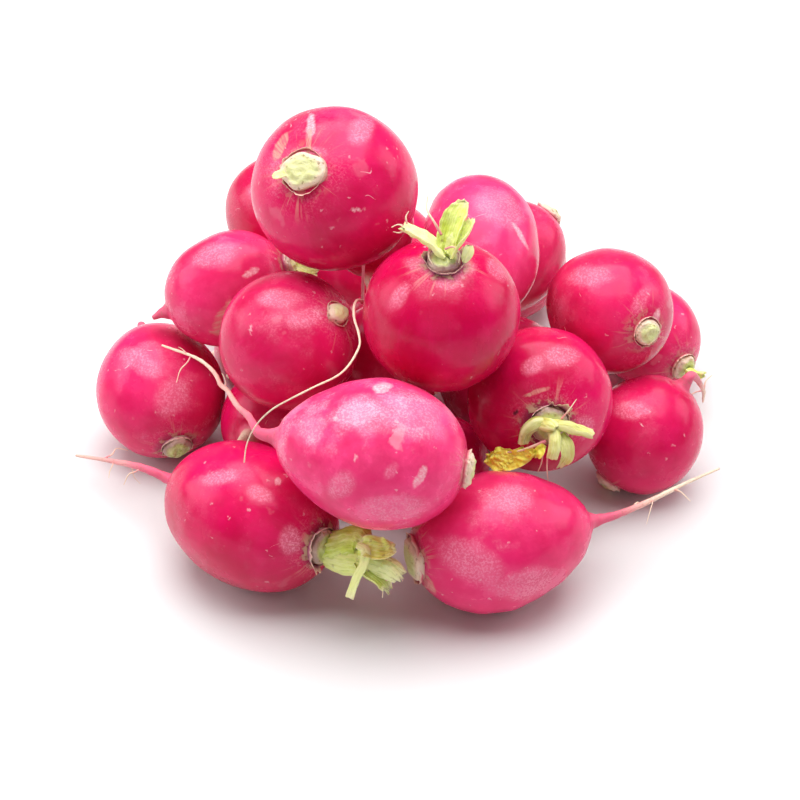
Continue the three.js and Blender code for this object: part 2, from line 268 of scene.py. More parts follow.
def mark_strength(name, kind, skin, middle):
    """How strong one kind of mark is at each point: 1 inside its ellipses, seen from the eye, fading to 0
    just outside them, and only on the side that the eye sees."""
    strength = np.zeros(skin.shape[:2])
    from_middle = (skin - middle) / mm
    for what, across, up, half_length, half_width, turn in marks.get(name, []):
        if what != kind:
            continue
        x, y = from_middle @ right - across, from_middle @ high - up
        cosine, sine = math.cos(math.radians(turn)), math.sin(math.radians(turn))
        reach = np.hypot((x * cosine + y * sine) / half_length, (y * cosine - x * sine) / half_width)
        strength = np.maximum(strength, 1 - eased(reach, 0.5, 1.3))
    return strength * (from_middle @ near > 0)


def grown_root(name, seed):
    """The root's surface over its angle and its length: the measured rings smoothed into one outline, set
    square to their own line. The radius is slimmed along the tail, and from the widest place to the neck by
    a share that grows as the distance to the power 1.3. Lumps are taken off, deepest on the bulb, and
    shallow folds that run to the crown and to the neck, and the tail has knots."""
    centres, radii = rings(f"{name}_root")
    rows = np.column_stack([centres[1:-1], radii[1:-1]])
    steps = np.linalg.norm(np.diff(rows, axis=0), axis=1)
    widest = int(np.argmax(rows[:, 3]))
    length = steps.sum()
    thin = steps[:widest][rows[1 : widest + 1, 3] < neck_end_radius].sum()
    at = np.r_[np.arange(0, thin, tail_step), np.linspace(thin, length, int((length - thin) / bulb_step))]
    line = through(rows, at / length)
    slim = tail_share.get(name, usual_tail_share)
    radius = np.maximum(line[:, 3], thinnest_tail)
    radius = radius * (slim + (1 - slim) * eased(radius / mm, 1.3, 3.6))
    widest_at = at[np.argmax(radius)]
    towards_tail = np.clip((widest_at - at) / (widest_at - thin), 0, 1) ** 1.3
    radius = radius - np.maximum(radius - neck_radius, 0) * towards_tail * tail_taper.get(name, 0)
    _, across, over = square_to(line[:, :3], (0.3, -0.9, 0.2))
    angle, out = all_round(across[:, None], over[:, None], root_sides)
    bulb_part = eased(radius / mm, 2, 8)[:, None]
    skin = line[:, None, :3] + out * radius[:, None, None]
    lumps = 0.5 + 0.35 * waves(skin, seed, lump_length) + 0.15 * waves(skin, seed + 1, small_lump_length)
    near_ends = np.maximum(0, 1 - np.abs(radius / mm - 4.5) / 3.5)[:, None]
    folds = near_ends * (0.5 + 0.5 * waves(out * 6, seed + 4, 4.5))
    ripple = waves(np.column_stack([at, at * 0, at * 0]), seed + 2, ripple_length)[:, None]
    knots = waves(skin, seed + 3, knot_length)
    depth = lump_depth * bulb_part * lumps + fold_depth * folds
    depth = depth + (1 - bulb_part) * radius[:, None] * tail_lump * (0.5 - 0.6 * ripple - 0.5 * knots)
    skin = line[:, None, :3] + out * (radius[:, None] - depth)[..., None]
    full = np.ones(root_sides)
    middle = line[np.argmax(radius), :3]
    to_tip = np.clip(1 - at / max(thin, 8 * mm), 0, 1)[:, None] * full
    turning = np.broadcast_arrays(8 * np.cos(angle), 8 * np.sin(angle), (at / mm)[:, None])
    return closed_grid(f"{name}_bulb", skin, {
        "from_crown": ((at[-1] - at) / mm)[:, None] * full,
        "thinness": (1 - np.clip((radius / mm - 1.2) / 4.6, 0, 1))[:, None] * full,
        "along_tail": to_tip * tail_cream.get(name, 1.0),
        "paleness": np.full(skin.shape[:2], paleness.get(name, usual_paleness)),
        "collar": np.full(skin.shape[:2], collar_strength.get(name, usual_collar)),
        "grain": np.stack(turning, -1),
        **{kind: mark_strength(name, kind, skin, middle) for kind in mark_kinds},
    })


def shade(tree, kind, settings=None, **inputs):
    """A shader node whose inputs are given by name, or by number as i0, i1, each a number, a colour or
    another node's output."""
    made = tree.nodes.new(kind)
    for key, value in (settings or {}).items():
        setattr(made, key, value)
    for key, value in inputs.items():
        numbered = key[0] == "i" and key[1:].isdigit()
        socket = made.inputs[int(key[1:]) if numbered else key.replace("_", " ")]
        if isinstance(value, bpy.types.NodeSocket):
            tree.links.new(value, socket)
        else:
            socket.default_value = value
    return made


def between(tree, value, low, high_end):
    """A mask that eases from 0 to 1 as a value goes from one limit to another."""
    ramp = shade(tree, "ShaderNodeMapRange", {"interpolation_type": "SMOOTHSTEP"}, Value=value)
    ramp.inputs["From Min"].default_value = low
    ramp.inputs["From Max"].default_value = high_end
    return ramp.outputs["Result"]


def calculated(tree, operation, values):
    """One operation carried out over several values in turn."""
    result = values[0]
    for value in values[1:]:
        result = shade(tree, "ShaderNodeMath", {"operation": operation}, i0=result, i1=value).outputs[0]
    return result


def times(tree, *values):
    """The product of several values."""
    return calculated(tree, "MULTIPLY", values)


def plus(tree, *values):
    """The sum of several values."""
    return calculated(tree, "ADD", values)


def on_vectors(tree, operation, **inputs):
    """One operation on vectors, and the vector it gives."""
    return shade(tree, "ShaderNodeVectorMath", {"operation": operation}, **inputs).outputs[0]


def tinted(tree, mask, under, over):
    """One colour laid over another through a mask."""
    mix = shade(tree, "ShaderNodeMix", {"data_type": "RGBA"}, i0=mask)
    for socket, colour in ((mix.inputs[6], under), (mix.inputs[7], over)):
        if isinstance(colour, bpy.types.NodeSocket):
            tree.links.new(colour, socket)
        else:
            socket.default_value = (*colour, 1)
    return mix.outputs[2]


def read(tree, name, output="Fac"):
    """A value that the mesh carries at each of its points."""
    return shade(tree, "ShaderNodeAttribute", {"attribute_name": name}).outputs[output]


def noise(tree, place, per_metre, detail=2.0):
    """A soft noise between 0 and 1, with so many lumps to the metre."""
    return shade(tree, "ShaderNodeTexNoise", None, Vector=place, Scale=per_metre, Detail=detail).outputs[0]


def new_group(name, takes, gives):
    """A shader node group with named inputs, each with its kind and first value, and named outputs."""
    group = bpy.data.node_groups.new(name, "ShaderNodeTree")
    for label, kind, value in takes:
        socket = group.interface.new_socket(name=label, in_out="INPUT", socket_type=kind)
        if value is not None:
            socket.default_value = value
    for label, kind in gives:
        group.interface.new_socket(name=label, in_out="OUTPUT", socket_type=kind)
    return group, group.nodes.new("NodeGroupInput").outputs, group.nodes.new("NodeGroupOutput").inputs


def placed(tree, group, **inputs):
    """A node group placed in a material with its own values, and what it gives."""
    return shade(tree, "ShaderNodeGroup", {"node_tree": group}, **inputs).outputs


# Flecks: spots strewn over a surface, each in a cell of its own, with edges pulled about by noise. Only
# a share of the cells has one.
flecks, flecks_in, flecks_out = new_group(
    "flecks",
    [("Place", "NodeSocketVector", None), ("Per Metre", "NodeSocketFloat", 300.0),
     ("Size", "NodeSocketFloat", 0.25), ("Share", "NodeSocketFloat", 0.3)],
    [("Mask", "NodeSocketFloat")],
)
wander = shade(flecks, "ShaderNodeTexNoise", None, Vector=flecks_in["Place"], Detail=3.0)
flecks.links.new(times(flecks, flecks_in["Per Metre"], 2.2), wander.inputs["Scale"])
pull = on_vectors(flecks, "SUBTRACT", i0=wander.outputs["Color"], i1=(0.5, 0.5, 0.5))
pull = on_vectors(flecks, "SCALE", i0=pull, Scale=calculated(flecks, "DIVIDE", (0.9, flecks_in["Per Metre"])))
moved = on_vectors(flecks, "ADD", i0=flecks_in["Place"], i1=pull)
cell = shade(flecks, "ShaderNodeTexVoronoi", None, Vector=moved, Scale=flecks_in["Per Metre"])
spot = shade(flecks, "ShaderNodeMapRange", {"interpolation_type": "SMOOTHSTEP"},
             Value=cell.outputs["Distance"])
flecks.links.new(flecks_in["Size"], spot.inputs["From Min"])
flecks.links.new(times(flecks, flecks_in["Size"], 0.5), spot.inputs["From Max"])
chosen = shade(flecks, "ShaderNodeSeparateColor", None, Color=cell.outputs["Color"]).outputs["Red"]
chosen = calculated(flecks, "LESS_THAN", (chosen, flecks_in["Share"]))
flecks.links.new(times(flecks, spot.outputs["Result"], chosen), flecks_out["Mask"])

# Clouds: soft patches where a slow noise is above a level, with finer noise in it that frays their edges.
clouds, clouds_in, clouds_out = new_group(
    "clouds",
    [("Place", "NodeSocketVector", None), ("Per Metre", "NodeSocketFloat", 60.0),
     ("Level", "NodeSocketFloat", 0.5), ("Soft", "NodeSocketFloat", 0.1)],
    [("Mask", "NodeSocketFloat")],
)
slow = shade(clouds, "ShaderNodeTexNoise", None, Vector=clouds_in["Place"], Scale=clouds_in["Per Metre"],
             Detail=6.0, Roughness=0.62)
patch = shade(clouds, "ShaderNodeMapRange", {"interpolation_type": "SMOOTHSTEP"}, Value=slow.outputs[0])
clouds.links.new(clouds_in["Level"], patch.inputs["From Min"])
clouds.links.new(plus(clouds, clouds_in["Level"], clouds_in["Soft"]), patch.inputs["From Max"])
clouds.links.new(patch.outputs["Result"], clouds_out["Mask"])

# Fibres: fine lines that run along a piece. The noise is close together round it and drawn out along it.
fibres, fibres_in, fibres_out = new_group(
    "fibres",
    [("Grain", "NodeSocketVector", None), ("Round", "NodeSocketFloat", 1.0),
     ("Along", "NodeSocketFloat", 0.1)],
    [("Value", "NodeSocketFloat")],
)
spread = shade(fibres, "ShaderNodeCombineXYZ", None, X=fibres_in["Round"], Y=fibres_in["Round"],
               Z=fibres_in["Along"])
drawn_out = on_vectors(fibres, "MULTIPLY", i0=fibres_in["Grain"], i1=spread.outputs[0])
lines = shade(fibres, "ShaderNodeTexNoise", None, Vector=drawn_out, Scale=1.0, Detail=4.0, Roughness=0.6)
fibres.links.new(lines.outputs[0], fibres_out["Value"])


def new_material(name):
    """An empty material with its shader: the material, its node tree and its Principled shader."""
    material = bpy.data.materials.new(name)
    material.use_nodes = True
    return material, material.node_tree, material.node_tree.nodes["Principled BSDF"]


def coloured(tree, shader, colour, height, strength, depth):
    """Gives a shader its colour, and its fine relief from a height, a strength and a depth in metres."""
    tree.links.new(colour, shader.inputs["Base Color"])
    relief = shade(tree, "ShaderNodeBump", None, Height=height, Strength=strength, Distance=depth)
    tree.links.new(relief.outputs[0], shader.inputs["Normal"])


def glowing(shader, weight, red, green, blue):
    """Lets light into the flesh below a surface, as far as is given for each colour, in metres."""
    shader.inputs["Subsurface Weight"].default_value = weight
    shader.inputs["Subsurface Radius"].default_value = (red, green, blue)
    shader.inputs["Subsurface Scale"].default_value = 1.0


def radish_skin():
    """Red skin, moist and smooth with a very fine grain: crimson to pink in slow clouds, frosty with pale
    patches that are partly a painted sheen, flecked and scratched, corky round the crown, and fading to
    cream along the tail."""
    material, tree, skin = new_material("radish_skin")
    place = shade(tree, "ShaderNodeTexCoord").outputs["Object"]
    grain = read(tree, "grain", "Vector")
    pale = read(tree, "paleness")
    from_crown = read(tree, "from_crown")
    thin = read(tree, "thinness")
    frost_and_sheen, scuff, peel, dark = (read(tree, kind) for kind in mark_kinds)
    slow = noise(tree, place, 70.0)
    fray = noise(tree, place, 340.0, 6.0)

    # The colour of the skin itself: deep crimson, brighter in clouds and streaks, pinker if it is pale.
    blush = placed(tree, clouds, Place=place, Per_Metre=38.0, Level=0.36, Soft=0.3)["Mask"]
    colour = tinted(tree, blush, deep_crimson, crimson)
    streaks = placed(tree, fibres, Grain=grain, Round=2.2, Along=0.1)["Value"]
    colour = tinted(tree, times(tree, between(tree, streaks, 0.5, 0.75), 0.2), colour, streak_red)
    mottle = placed(tree, clouds, Place=place, Per_Metre=120.0, Level=0.35, Soft=0.35)["Mask"]
    paler = times(tree, pale, plus(tree, times(tree, mottle, 0.55), 0.5))
    colour = tinted(tree, paler, colour, pale_pink)

    # Frost and painted sheen: skin rubbed thin, and a highlight painted where the light catches the bulb,
    # both broken up into a net of fine pale grains.
    haze = placed(tree, clouds, Place=place, Per_Metre=62.0, Level=0.52, Soft=0.16)["Mask"]
    net = shade(tree, "ShaderNodeTexNoise", None, Vector=place, Scale=1900.0, Detail=3.0, Roughness=0.7)
    net = between(tree, net.outputs[0], 0.45, 0.62)
    frayed = plus(tree, frost_and_sheen, times(tree, noise(tree, place, 190.0, 4.0), -1.3))
    frost_and_sheen = between(tree, frayed, -0.6, 0.65)
    haze = times(tree, haze, plus(tree, times(tree, pale, 0.85), 0.03))
    haze = plus(tree, haze, times(tree, frost_and_sheen, 0.75))
    frost_and_sheen_mask = times(tree, haze, plus(tree, times(tree, net, 0.5), 0.36))
    near_crown = times(tree, between(tree, from_crown, 9.0, 2.0), net, mottle, 0.3)
    frost_and_sheen_mask = plus(tree, frost_and_sheen_mask, near_crown)
    # Painted sheen: this pale pink is partly rubbed skin and partly a highlight painted into the colour.
    colour = tinted(tree, frost_and_sheen_mask, colour, frost_and_sheen_pink)

    # Marks: bruises, pin specks, hairline scratches, and the scuffs.
    bruise = placed(tree, flecks, Place=place, Per_Metre=110.0, Size=0.28, Share=0.1)["Mask"]
    bruise = times(tree, bruise, plus(tree, times(tree, pale, 0.4), 0.04), plus(tree, fray, 0.3))
    specks = placed(tree, flecks, Place=place, Per_Metre=480.0, Size=0.22, Share=0.12)["Mask"]
    from_line = plus(tree, noise(tree, place, 75.0), -0.5)
    off_line = shade(tree, "ShaderNodeMath", {"operation": "ABSOLUTE"}, i0=from_line).outputs[0]
    some = placed(tree, clouds, Place=place, Per_Metre=130.0, Level=0.62, Soft=0.04)["Mask"]
    scratch = times(tree, between(tree, off_line, 0.0035, 0.0012), some, 0.7)
    scuffed = between(tree, plus(tree, scuff, times(tree, fray, -1.6)), -0.55, 0.15)
    scuffed = times(tree, scuffed, plus(tree, times(tree, net, 0.5), 0.45))
    white_marks = plus(tree, bruise, times(tree, specks, 0.4), scratch, times(tree, scuffed, 0.9))
    colour = tinted(tree, white_marks, colour, scuff_white)

    # Peeled skin: tan and pink streaks torn down from the crown, corky where it has cracked.
    torn = placed(tree, fibres, Grain=grain, Round=0.9, Along=0.06)["Value"]
    torn = times(tree, between(tree, torn, 0.57, 0.66), between(tree, from_crown, 9.0, 1.5), 0.6)
    peeled = between(tree, plus(tree, peel, times(tree, fray, -1.5)), -0.5, 0.1)
    peeled = times(tree, peeled, plus(tree, times(tree, between(tree, streaks, 0.4, 0.6), 0.6), 0.4))
    colour = tinted(tree, plus(tree, torn, times(tree, peeled, 0.85)), colour, peeled_tan)
    ragged = plus(tree, from_crown, times(tree, slow, -4.0))
    collared = read(tree, "collar")
    collar = times(tree, between(tree, ragged, 1.4, -1.1), collared)
    colour = tinted(tree, times(tree, collar, 0.8), colour, collar_maroon)
    cork = placed(tree, clouds, Place=place, Per_Metre=420.0, Level=0.5, Soft=0.08)["Mask"]
    corky = times(tree, between(tree, ragged, 2.2, -0.6), plus(tree, collared, 0.25))
    cork = times(tree, cork, plus(tree, corky, times(tree, peeled, 0.7)))
    colour = tinted(tree, times(tree, cork, 0.75), colour, cork_tan)
    blackened = between(tree, plus(tree, dark, times(tree, fray, -1.6)), -0.45, 0.25)
    colour = tinted(tree, blackened, colour, bruise_black)

    # The tail: pink at the neck, cream towards the tip, with fine rings and scars across it.
    along = times(tree, read(tree, "along_tail"), 0.9)
    cream = plus(tree, times(tree, thin, 0.5), along, times(tree, slow, 0.35), -0.42)
    colour = tinted(tree, between(tree, thin, 0.25, 1.0), colour, neck_pink)
    colour = tinted(tree, between(tree, cream, 0.3, 0.8), colour, tip_cream)
    rings_across = placed(tree, fibres, Grain=grain, Round=0.12, Along=1.9)["Value"]
    scar = times(tree, between(tree, rings_across, 0.56, 0.68), thin)
    colour = tinted(tree, times(tree, scar, 0.5), colour, scar_brown)

    # The finish: glossy where it is smooth and duller where it is rubbed, with pores and fine dimples.
    gloss = plus(tree, 0.2, times(tree, frost_and_sheen_mask, 0.2), times(tree, collar, 0.3), times(tree, thin, 0.22),
                 times(tree, mottle, 0.1), times(tree, scuffed, 0.2))
    tree.links.new(gloss, skin.inputs["Roughness"])
    skin.inputs["IOR"].default_value = 1.34
    skin.inputs["Specular Tint"].default_value = (1.0, 0.66, 0.88, 1)
    skin.inputs["Coat Weight"].default_value = 0.04
    skin.inputs["Coat Roughness"].default_value = 0.08
    glowing(skin, 0.1, 0.0022, 0.0005, 0.0007)
    pores = noise(tree, place, 2300.0)
    dimples = noise(tree, place, 420.0)
    height = plus(tree, times(tree, pores, 0.16), times(tree, dimples, 0.2), times(tree, streaks, 0.15),
                  times(tree, cork, 0.8), times(tree, scar, -0.35), times(tree, scuffed, -0.25),
                  times(tree, specks, 0.25), times(tree, peeled, -0.3))
    coloured(tree, skin, colour, height, 0.7, 0.00024)
    return material


def own(piece, material, slot, *nodes):
    """Gives a piece its material, lets it ride on the heap, and hides the imported parts that it stands for.
    """
    piece.data.materials.append(material)
    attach(piece, "root")
    if nodes:
        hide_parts(*nodes)


skin_material = radish_skin()
for number, radish in enumerate(radishes):
    own(grown_root(radish, 11 * number + 3), skin_material, "radish_skin", f"{radish}_root")

# ---- Crowns ----
# Where the leaves were cut off, a radish keeps a low pale-green crown, ringed by the scars of its leaves.
# The crown is a dome with a lumpy edge, sunk a little into the bulb, with crescents round it in a spiral.
crown_sides = 72
crown_rows = 34
crown_sink = 1.3 * mm
golden_turn = 2.4
leaf_scars = 7
# How wide and how long a leaf scar and the pit in it are, each way from their middle, in millimetres.
scar_size = (0.42, 1.7)
pit_size = (0.2, 1.1)
# Waves along a ring are read on a circle of this radius, so that they meet where the ring closes.
wave_circle = 3

# How far a crown that isn't round is drawn out one way and narrowed the other.
crown_stretch = {"top": 1.16, "middle_left": 1.22, "front_right": 1.1}
# How high the leaf scars stand, from 0 to 1, where it isn't the usual height.
usual_relief = 0.6
crown_relief = {"top": 0.4, "middle_left": 0.08, "front_right": 0.2, "front_middle": 0.4}
# How purple the rind and the torn skin round a crown are, from 0 to 1, where it isn't the usual tint.
usual_mauve = 0.1
mauveness = {"front_left": 0.7, "middle_right": 1.0, "right_front": 0.8, "left": 0.8, "left_upper": 0.6}
# How green the cut flesh is, from 0, cream, to 1, where it isn't the usual green.
usual_green = 0.5
greenness = {
    "top": 0.3, "middle_left": 0.02, "left": 0.85, "front_right": 0.5, "right_upper": 0.45,
    "front_left": 0.8, "middle_right": 0.7, "right_front": 0.65, "back_right": 0.7, "left_upper": 0.3,
    "front_middle": 0.35,
}

crown_cream = (0.82, 0.77, 0.42)
crown_green = (0.36, 0.44, 0.08)
patch_cream = (0.78, 0.76, 0.36)
patch_green = (0.54, 0.60, 0.16)
scar_cream = (0.84, 0.82, 0.52)
rind_cream = (0.88, 0.66, 0.52)
rind_mauve = (0.30, 0.12, 0.17)
rind_tan = (0.62, 0.44, 0.36)
dried_brown = (0.33, 0.19, 0.07)


def crown_frame(name):
    """Where a crown stands: the middle of its foot, its radius and height, and its three directions: out
    along its axis, and two square to that."""
    centres, radii = rings(f"{name}_crown")
    out = centres[0] - centres[-1]
    tall = np.linalg.norm(out)
    out = out / tall
    side = high - out * (high @ out)
    side /= np.linalg.norm(side)
    return centres[-1], radii.max(), tall, out, side, np.cross(out, side)


def crown(name, seed):
    """The crown's surface over its angle and its share of the radius, from the foot to the middle: a dome,
    stretched one way, whose edge swells and shrinks, with lumps, and for each leaf scar a crescent, raised
    by its relief, with a pit in it. Crescents and pits fall off as the exponential of minus the square."""
    foot, radius, tall, out, side, over = crown_frame(name)
    chance = np.random.default_rng(seed)
    stretch = crown_stretch.get(name, 1.0)
    angle, round_it = all_round(side / stretch, over * stretch, crown_sides)
    share = np.sin(np.linspace(np.pi / 2, 0.02, crown_rows))[:, None]
    reach = radius * (1.03 + 0.1 * waves(round_it * wave_circle, seed, 4))
    height = tall * (0.15 + 0.72 * np.sqrt(1 - share**2)) * np.ones(crown_sides)
    scar = np.zeros_like(height)
    relief = crown_relief.get(name, usual_relief)
    for i in range(leaf_scars):
        towards, away = i * golden_turn + chance.uniform(-0.5, 0.5), 0.88 - 0.09 * i
        turn = (angle - towards + np.pi) % (2 * np.pi) - np.pi
        bow = (share - away * np.cos(turn * 0.8)) * radius / mm
        ends = turn * away * radius / mm
        crescent = np.exp(-((bow / scar_size[0]) ** 2) - (ends / scar_size[1]) ** 2)
        pit = np.exp(-((bow / pit_size[0]) ** 2) - (ends / pit_size[1]) ** 2)
        scar = np.maximum(scar, crescent * relief)
        bite = (0.45 * crescent - 0.4 * pit) * relief * mm
        height = height + bite * eased(share, 0.05, 0.4) * eased(1 - share, 0, 0.12)
    disc = foot + (round_it * reach[:, None]) * share[..., None]
    lumps = 0.4 * mm * (0.2 + relief) * waves(disc + out * height[..., None], seed + 5, 2.2 * mm)
    height = height + lumps * eased(1 - share, 0, 0.2)
    places = disc + out * height[..., None]
    skirt = foot + round_it * reach[:, None] * 1.04 - out * crown_sink
    places = np.concatenate([skirt[None], places])
    blank = np.zeros((1, crown_sides))
    return closed_grid(f"{name}_crown_flesh", places, {
        "from_middle": np.concatenate([blank + 1, share * np.ones(crown_sides)]),
        "scar": np.concatenate([blank, scar]),
        "tone": np.full((crown_rows + 1, crown_sides), greenness.get(name, usual_green)),
        "mauve": np.full((crown_rows + 1, crown_sides), mauveness.get(name, usual_mauve)),
    })


def crown_flesh():
    """Cut crown: cream to pale green, greener between the leaf scars, with a cream or mauve rind and
    brown flecks towards it."""
    material, tree, flesh = new_material("crown_flesh")
    place = shade(tree, "ShaderNodeTexCoord").outputs["Object"]
    from_middle, scar, tone = (read(tree, key) for key in ("from_middle", "scar", "tone"))
    mottle = placed(tree, clouds, Place=place, Per_Metre=330.0, Level=0.38, Soft=0.25)["Mask"]
    colour = tinted(tree, tone, crown_cream, crown_green)
    greener = tinted(tree, tone, patch_cream, patch_green)
    colour = tinted(tree, times(tree, mottle, 0.5), colour, greener)
    colour = tinted(tree, times(tree, scar, 0.6), colour, scar_cream)
    rim = between(tree, plus(tree, from_middle, times(tree, noise(tree, place, 300.0), 0.35)), 0.8, 1.1)
    mauve = read(tree, "mauve")
    rind = tinted(tree, mauve, rind_cream, rind_mauve)
    rind = tinted(tree, times(tree, mottle, mauve, 0.6), rind, rind_tan)
    colour = tinted(tree, times(tree, rim, 0.9), colour, rind)
    brown = placed(tree, flecks, Place=place, Per_Metre=1100.0, Size=0.42, Share=0.3)["Mask"]
    brown = times(tree, brown, between(tree, from_middle, 0.45, 0.8))
    colour = tinted(tree, times(tree, brown, 0.7), colour, dried_brown)
    flesh.inputs["Roughness"].default_value = 0.5
    glowing(flesh, 0.2, 0.0016, 0.0013, 0.0006)
    grains = noise(tree, place, 1500.0, 4.0)
    height = plus(tree, grains, times(tree, mottle, 0.6), times(tree, brown, -0.5))
    coloured(tree, flesh, colour, height, 0.8, 0.00025)
    return material


crown_material = crown_flesh()
for number, radish in enumerate(radishes):
    own(crown(radish, 17 * number + 5), crown_material, "crown", f"{radish}_crown")

# ---- Torn skin round the crowns ----
# The skin ends at the crown in a thin dry edge, mauve and tan, that stands up in ragged teeth. It is a
# closed ring of film, tallest on the radishes that keep the bases of their leaves.
film_sides = 144
film_thickness = 0.11 * mm
film_root = 0.7 * mm
film_tooth = 0.95 * mm

# How tall the teeth are, in teeth of the height above: the usual height, and where it differs.
usual_raggedness = 0.6
raggedness = {"front_left": 2.2, "middle_right": 1.9, "right_front": 1.9, "top": 0.8, "middle_left": 0.25}

film_red = (0.62, 0.12, 0.16)
film_mauve = (0.42, 0.13, 0.26)
film_straw = (0.84, 0.58, 0.46)
film_maroon = (0.22, 0.06, 0.08)


def torn_film(name, seed):
    """The film's surface over its angle and the way round its section: a thin ring just outside the crown,
    whose height is a sum of slow and quick waves, and which leans out as it rises."""
    foot, radius, _, out, side, over = crown_frame(name)
    _, round_it = all_round(side, over, film_sides)
    circle = round_it * wave_circle
    teeth = np.clip(0.35 + 0.5 * waves(circle, seed, 4) + 0.5 * waves(circle, seed + 1, 0.9), 0.12, 1.3)
    tall = teeth * raggedness.get(name, usual_raggedness) * film_tooth
    climb = np.array([0, 0.35, 0.7, 1.0, 1.0, 0.7, 0.35, 0])[:, None]
    face = np.array([1, 1, 1, 0.35, -0.35, -1, -1, -1])[:, None] * film_thickness / 2
    lean = 0.9 + 0.7 * waves(circle, seed + 2, 3)
    reach = radius * 1.1 + climb * tall * lean + face
    height = -film_root + climb * (tall + film_root)
    places = foot + round_it * reach[..., None] + out * height[..., None]
    full = np.ones(film_sides)
    return closed_grid(f"{name}_torn_skin", places, {
        "edge": climb * full,
        "mauve": np.full((len(climb), film_sides), mauveness.get(name, usual_mauve)),
    }, ring=True)


def dry_film():
    """Dried skin: red or mauve below, straw at the torn edge, with dark spots where it is mauve."""
    material, tree, film = new_material("torn_skin")
    place = shade(tree, "ShaderNodeTexCoord").outputs["Object"]
    edge, mauve = read(tree, "edge"), read(tree, "mauve")
    fray = noise(tree, place, 700.0, 4.0)
    colour = tinted(tree, mauve, film_red, film_mauve)
    straw = between(tree, plus(tree, edge, times(tree, fray, 0.5)), 0.45, 1.25)
    colour = tinted(tree, straw, colour, film_straw)
    dried = times(tree, between(tree, fray, 0.55, 0.72), mauve, 0.8)
    colour = tinted(tree, dried, colour, film_maroon)
    film.inputs["Roughness"].default_value = 0.55
    coloured(tree, film, colour, fray, 0.8, 0.0002)
    return material


film_material = dry_film()
for number, radish in enumerate(radishes):
    own(torn_film(radish, 13 * number + 7), film_material, "radish_skin")

# ---- Leaf stalks ----
# Some radishes keep the broken bases of their leaves: fleshy green stalks, channelled on top and ribbed
# below, that end in torn fibres. Each is a lens of flesh bent along an arc and carried along its stalk.
leaf_sides = 56
leaf_step = 0.22 * mm
spot_brown = (0.24, 0.17, 0.05)

# The lengths of a leaf base's waves, in millimetres: its fleshiness, its ruffles, its fine crinkles, its
# teeth, and the torn fibres on them.
flesh_wave = 3.0
ruffle_wave = 3.2
crinkle_wave = 1.2
tooth_wave = 1.1
fibre_wave = 0.5


def leaf_piece(name, path, widths, thickness, curl, facing, seed, torn, ruffle, ribs, tone):
    """A leaf's base or a scrap of leaf over its length and once round its section. The middle line is the
    smoothed path. The section is an ellipse, bent along an arc of the given curl in radians that opens
    towards the facing side, ribbed outside. Its edges are ruffled, and its end runs out in teeth.
    Path, widths, thickness, torn and ruffle are in metres."""
    rows = np.column_stack([path, widths])
    length = np.linalg.norm(np.diff(rows, axis=0), axis=1).sum()
    share = np.linspace(0, 1, max(20, int(length / leaf_step)))
    line = through(rows, share)
    forward, lift, sideways = square_to(line[:, :3], facing)
    turn = np.arange(leaf_sides) / leaf_sides * 2 * np.pi
    across, outer = np.cos(turn), np.sin(turn)
    half = line[:, 3:] / 2
    bend = across * curl / 2
    arc = half / (curl / 2)
    along = (share * length / mm)[:, None]
    sheet = np.stack(np.broadcast_arrays(along, across * half / mm, along * 0), -1)
    flesh = thickness / 2 * outer * (1 + 0.22 * np.cos(ribs * np.pi * across) * (outer > 0))
    flesh = flesh * (1 + 0.3 * waves(sheet, seed, flesh_wave)) * (0.55 + 0.45 * np.cos(share * 1.3))[:, None]
    wave = ruffle * np.abs(across) ** 1.5 * waves(sheet, seed + 1, ruffle_wave)
    wave = wave + 0.25 * ruffle * waves(sheet, seed + 2, crinkle_wave)
    teeth = torn * (waves(sheet[-1], seed + 3, tooth_wave) + 0.6 * waves(sheet[-1], seed + 4, fibre_wave))
    end = (eased(share, 0.72, 1.0) ** 2)[:, None]
    sink, reach = arc * (1 - np.cos(bend)) + wave, arc * np.sin(bend)
    places = (
        line[:, None, :3]
        + sideways[:, None] * (reach + flesh * np.sin(bend))[..., None]
        + lift[:, None] * (sink - flesh * np.cos(bend))[..., None]
        + forward[:, None] * (teeth * end)[..., None]
    )
    full = np.ones_like(reach)
    return closed_grid(name, places, {
        "grain": np.stack(np.broadcast_arrays(across * half / mm, outer * 0.6, along), -1),
        "tip": eased(share, 0.8, 1.0)[:, None] * full,
        "edge": np.abs(across) * full,
        "tone": tone * full,
    })


